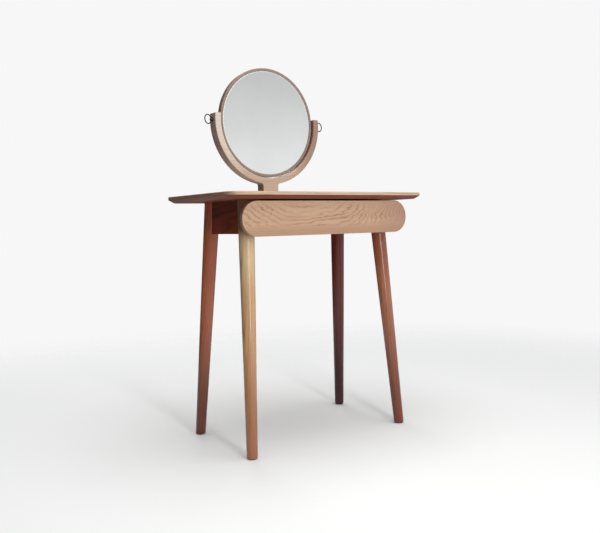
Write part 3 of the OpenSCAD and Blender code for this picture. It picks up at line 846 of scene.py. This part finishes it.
def colour_mirror():
    # Painted light and shade: the left arm is paler as if lit, the right arm a darker pinkish brown as if
    # shaded.
    bow = wood(
        "bow_oak", rgb(206, 186, 166), rgb(192, 168, 148), rgb(160, 124, 104), centre=PIVOT, depth=0.11,
        ring=0.008, seed=41.0, warp=0.02, contrast=0.26, gloss=0.36, coat=0.2, end_grain=0.8,
        painted_light_fades=[(RIGHT, 0.06, 0.19, rgb(140, 106, 96)), (LEFT, 0.06, 0.18, rgb(228, 216, 204))],
    )
    assign(bow, "yoke_bow")
    rim = wood(
        "rim_oak", rgb(158, 138, 128), rgb(140, 118, 110), rgb(116, 92, 82), centre=PIVOT, depth=0.11,
        ring=0.012, seed=45.0, warp=0.02, contrast=0.16, gloss=0.36, coat=0.2,
    )
    assign(rim, "mirror_rim")


def colour_fittings():
    slate = metal(
        "slate_coating", rgb(28, 36, 48), rgb(20, 27, 37), 0.34, scratch=0.12, metallic=0.35, coat=0.15
    )
    assign(slate, "pivot_screw_left", "pivot_screw_right", "pull_ring_left_wire", "pull_ring_right_wire")
    black = metal("black_steel", rgb(52, 52, 56), rgb(36, 36, 40), 0.42, scratch=0.18, metallic=0.8)
    assign(black, "yoke_bolts")
    zinc = metal("zinc_plate", rgb(196, 198, 202), rgb(178, 182, 188), 0.36, (30.0, 420.0, 420.0))
    assign(zinc, "top_brackets", "bracket_screws", "batten_screws", "slide_screws", "yoke_washers")
    assign(zinc, "slide_outer_left", "slide_outer_right", "slide_middle_left", "slide_middle_right")
    assign(zinc, "slide_inner_left", "slide_inner_right", "drawer_slide_screws")
    assign(zinc, "drawer_front_screws", "mirror_back_screws")
    brass = metal("turned_brass", rgb(206, 172, 104), rgb(188, 150, 84), 0.28, (500.0, 40.0, 40.0))
    assign(brass, "yoke_bushes", "mirror_bushes")
    assign(plastic("glide_nylon", rgb(46, 43, 40), 0.5), "foot_glides")
    assign(plastic("washer_nylon", rgb(34, 34, 36), 0.45), "pivot_washers")


# ---- Stage ----

PALE = 0.93  # how bright the empty studio looks


def build_stage():
    """A pale floor that melts into the pale studio around it."""
    t = Tree("stage_white")
    body = t.mix(t.noise(t.place(), (1.2, 1.2, 1.2), detail=3.0), rgb(243, 243, 242), rgb(246, 246, 245))
    t.finish(Base_Color=body, Roughness=0.85)
    clear = t.nodes.new("ShaderNodeBsdfTransparent")
    blend = t.nodes.new("ShaderNodeMixShader")
    distance = t.vector("LENGTH", t.place())
    t.put(blend.inputs[0], t.ranged(distance, 0.7, 2.6, smooth=True))
    t.links.new(t.shader.outputs[0], blend.inputs[1])
    t.links.new(clear.outputs[0], blend.inputs[2])
    t.links.new(blend.outputs[0], t.out.inputs[0])
    steps = 4 * QUARTER
    radii = (0.4, 1.0, 1.7, 2.7)
    verts = [p + (0.0,) for radius in radii for p, _ in arc((0, 0), radius, 0, 360, steps)[:-1]]
    faces = [tuple(reversed(f)) for f in ring_faces(len(radii), steps)]
    faces.append(tuple(range(steps)))
    mesh = bpy.data.meshes.new("studio_floor")
    mesh.from_pydata(verts, [], faces)
    mesh.materials.append(t.material)
    floor = bpy.data.objects.new("studio_floor", mesh)
    bpy.context.scene.collection.objects.link(floor)


def area_light(name, place, target, size, power, colour=(1.0, 1.0, 1.0)):
    data = bpy.data.lights.new(name, "AREA")
    data.shape = "RECTANGLE"
    data.size, data.size_y = size
    data.energy = power
    data.color = colour
    light = bpy.data.objects.new(name, data)
    light.location = place
    light.rotation_mode = "QUATERNION"
    light.rotation_quaternion = (Vector(target) - Vector(place)).to_track_quat("-Z", "Y")
    bpy.context.scene.collection.objects.link(light)


def build_world():
    """Soft light that comes mostly from the front right; the empty studio itself looks evenly pale."""
    world = bpy.data.worlds.new("studio")
    world.use_nodes = True
    bpy.context.scene.world = world
    nodes, links = world.node_tree.nodes, world.node_tree.links
    nodes.clear()

    def node(kind, **settings):
        n = nodes.new(kind)
        for key, value in settings.items():
            setattr(n, key, value)
        return n

    def ranged(value, low, high, to_low, to_high):
        n = node("ShaderNodeMapRange", interpolation_type="SMOOTHSTEP")
        links.new(value, n.inputs["Value"])
        for key, number in (("From Min", low), ("From Max", high), ("To Min", to_low), ("To Max", to_high)):
            n.inputs[key].default_value = number
        return n.outputs[0]

    place = node("ShaderNodeTexCoord")
    parts = node("ShaderNodeSeparateXYZ")
    links.new(place.outputs["Generated"], parts.inputs[0])
    side = node("ShaderNodeVectorMath", operation="DOT_PRODUCT")
    links.new(place.outputs["Generated"], side.inputs[0])
    side.inputs[1].default_value = (0.45, -0.89, 0.0)
    front = ranged(side.outputs["Value"], -0.2, 0.95, 0.07, 1.0)
    band = ranged(parts.outputs[2], 0.05, 0.24, 0.86, 0.58)
    light = node("ShaderNodeMath", operation="MULTIPLY")
    links.new(front, light.inputs[0])
    links.new(band, light.inputs[1])
    overhead = node("ShaderNodeMath", operation="ADD")
    links.new(light.outputs[0], overhead.inputs[0])
    links.new(ranged(parts.outputs[2], 0.3, 1.0, 0.0, 0.3), overhead.inputs[1])
    tinted = node("ShaderNodeMix", data_type="RGBA", blend_type="MULTIPLY")
    tinted.inputs[0].default_value = 1.0
    links.new(overhead.outputs[0], tinted.inputs[6])
    tinted.inputs[7].default_value = (0.96, 1.0, 1.01, 1.0)
    lit = node("ShaderNodeBackground")
    links.new(tinted.outputs[2], lit.inputs[0])
    seen = node("ShaderNodeBackground")
    seen.inputs[0].default_value = (PALE, PALE, PALE, 1.0)
    path = node("ShaderNodeLightPath")
    blend = node("ShaderNodeMixShader")
    links.new(path.outputs["Is Camera Ray"], blend.inputs[0])
    links.new(lit.outputs[0], blend.inputs[1])
    links.new(seen.outputs[0], blend.inputs[2])
    links.new(blend.outputs[0], node("ShaderNodeOutputWorld").inputs[0])


def build_lights():
    area_light("key_window", (-0.45, -2.3, 1.15), (0, -0.2, 0.65), (0.34, 1.7), 21, (1.0, 0.99, 0.97))
    area_light("overhead", (0.0, -0.3, 3.2), (0, 0, 0.6), (2.6, 2.6), 64)
    area_light("rear_fill", (0.8, 3.0, 1.8), (0, 0, 0.6), (1.6, 1.2), 20)


def build_camera():
    """A view from in front of the table's left corner, just under the height of the top."""
    data = bpy.data.cameras.new("camera")
    data.sensor_width = 36.0
    data.lens = 42.342
    yaw, pitch, roll = 0.6180, 0.0610, -0.0240
    forward = Vector((math.sin(yaw) * math.cos(pitch), math.cos(yaw) * math.cos(pitch), -math.sin(pitch)))
    level = Vector((math.cos(yaw), -math.sin(yaw), 0.0))
    up = level.cross(forward)
    right = math.cos(roll) * level + math.sin(roll) * up
    up = -math.sin(roll) * level + math.cos(roll) * up
    turn = Matrix((right, up, -forward)).transposed()
    camera = bpy.data.objects.new("camera", data)
    camera.matrix_world = Matrix.Translation((-1.2944, -1.8293, 0.6596)) @ turn.to_4x4()
    bpy.context.scene.collection.objects.link(camera)
    bpy.context.scene.camera = camera
    bpy.context.scene.view_settings.view_transform = "Standard"


build_camera()
build_stage()
build_world()
build_lights()
build_top()
for leg in LEGS:
    build_leg(leg)
build_drawer_front()
build_yoke()
build_mirror_frame()
build_mirror_glass()
build_ring("left")
build_ring("right")
ease_edges(0.8 * MM, "apron_left", "apron_right", "apron_back", "rail_front")
ease_edges(0.7 * MM, "drawer_side_left", "drawer_side_right", "drawer_box_front", "drawer_back")
ease_edges(0.4 * MM, "pivot_screw_left", "pivot_screw_right", "foot_glides")
ease_edges(0.25 * MM, "top_brackets", "slide_outer_left", "slide_outer_right", "slide_inner_left")
ease_edges(0.25 * MM, "slide_inner_right", "slide_middle_left", "slide_middle_right", "yoke_bolts")
colour_top()
colour_legs()
colour_frame()
colour_drawer()
colour_mirror()
colour_fittings()
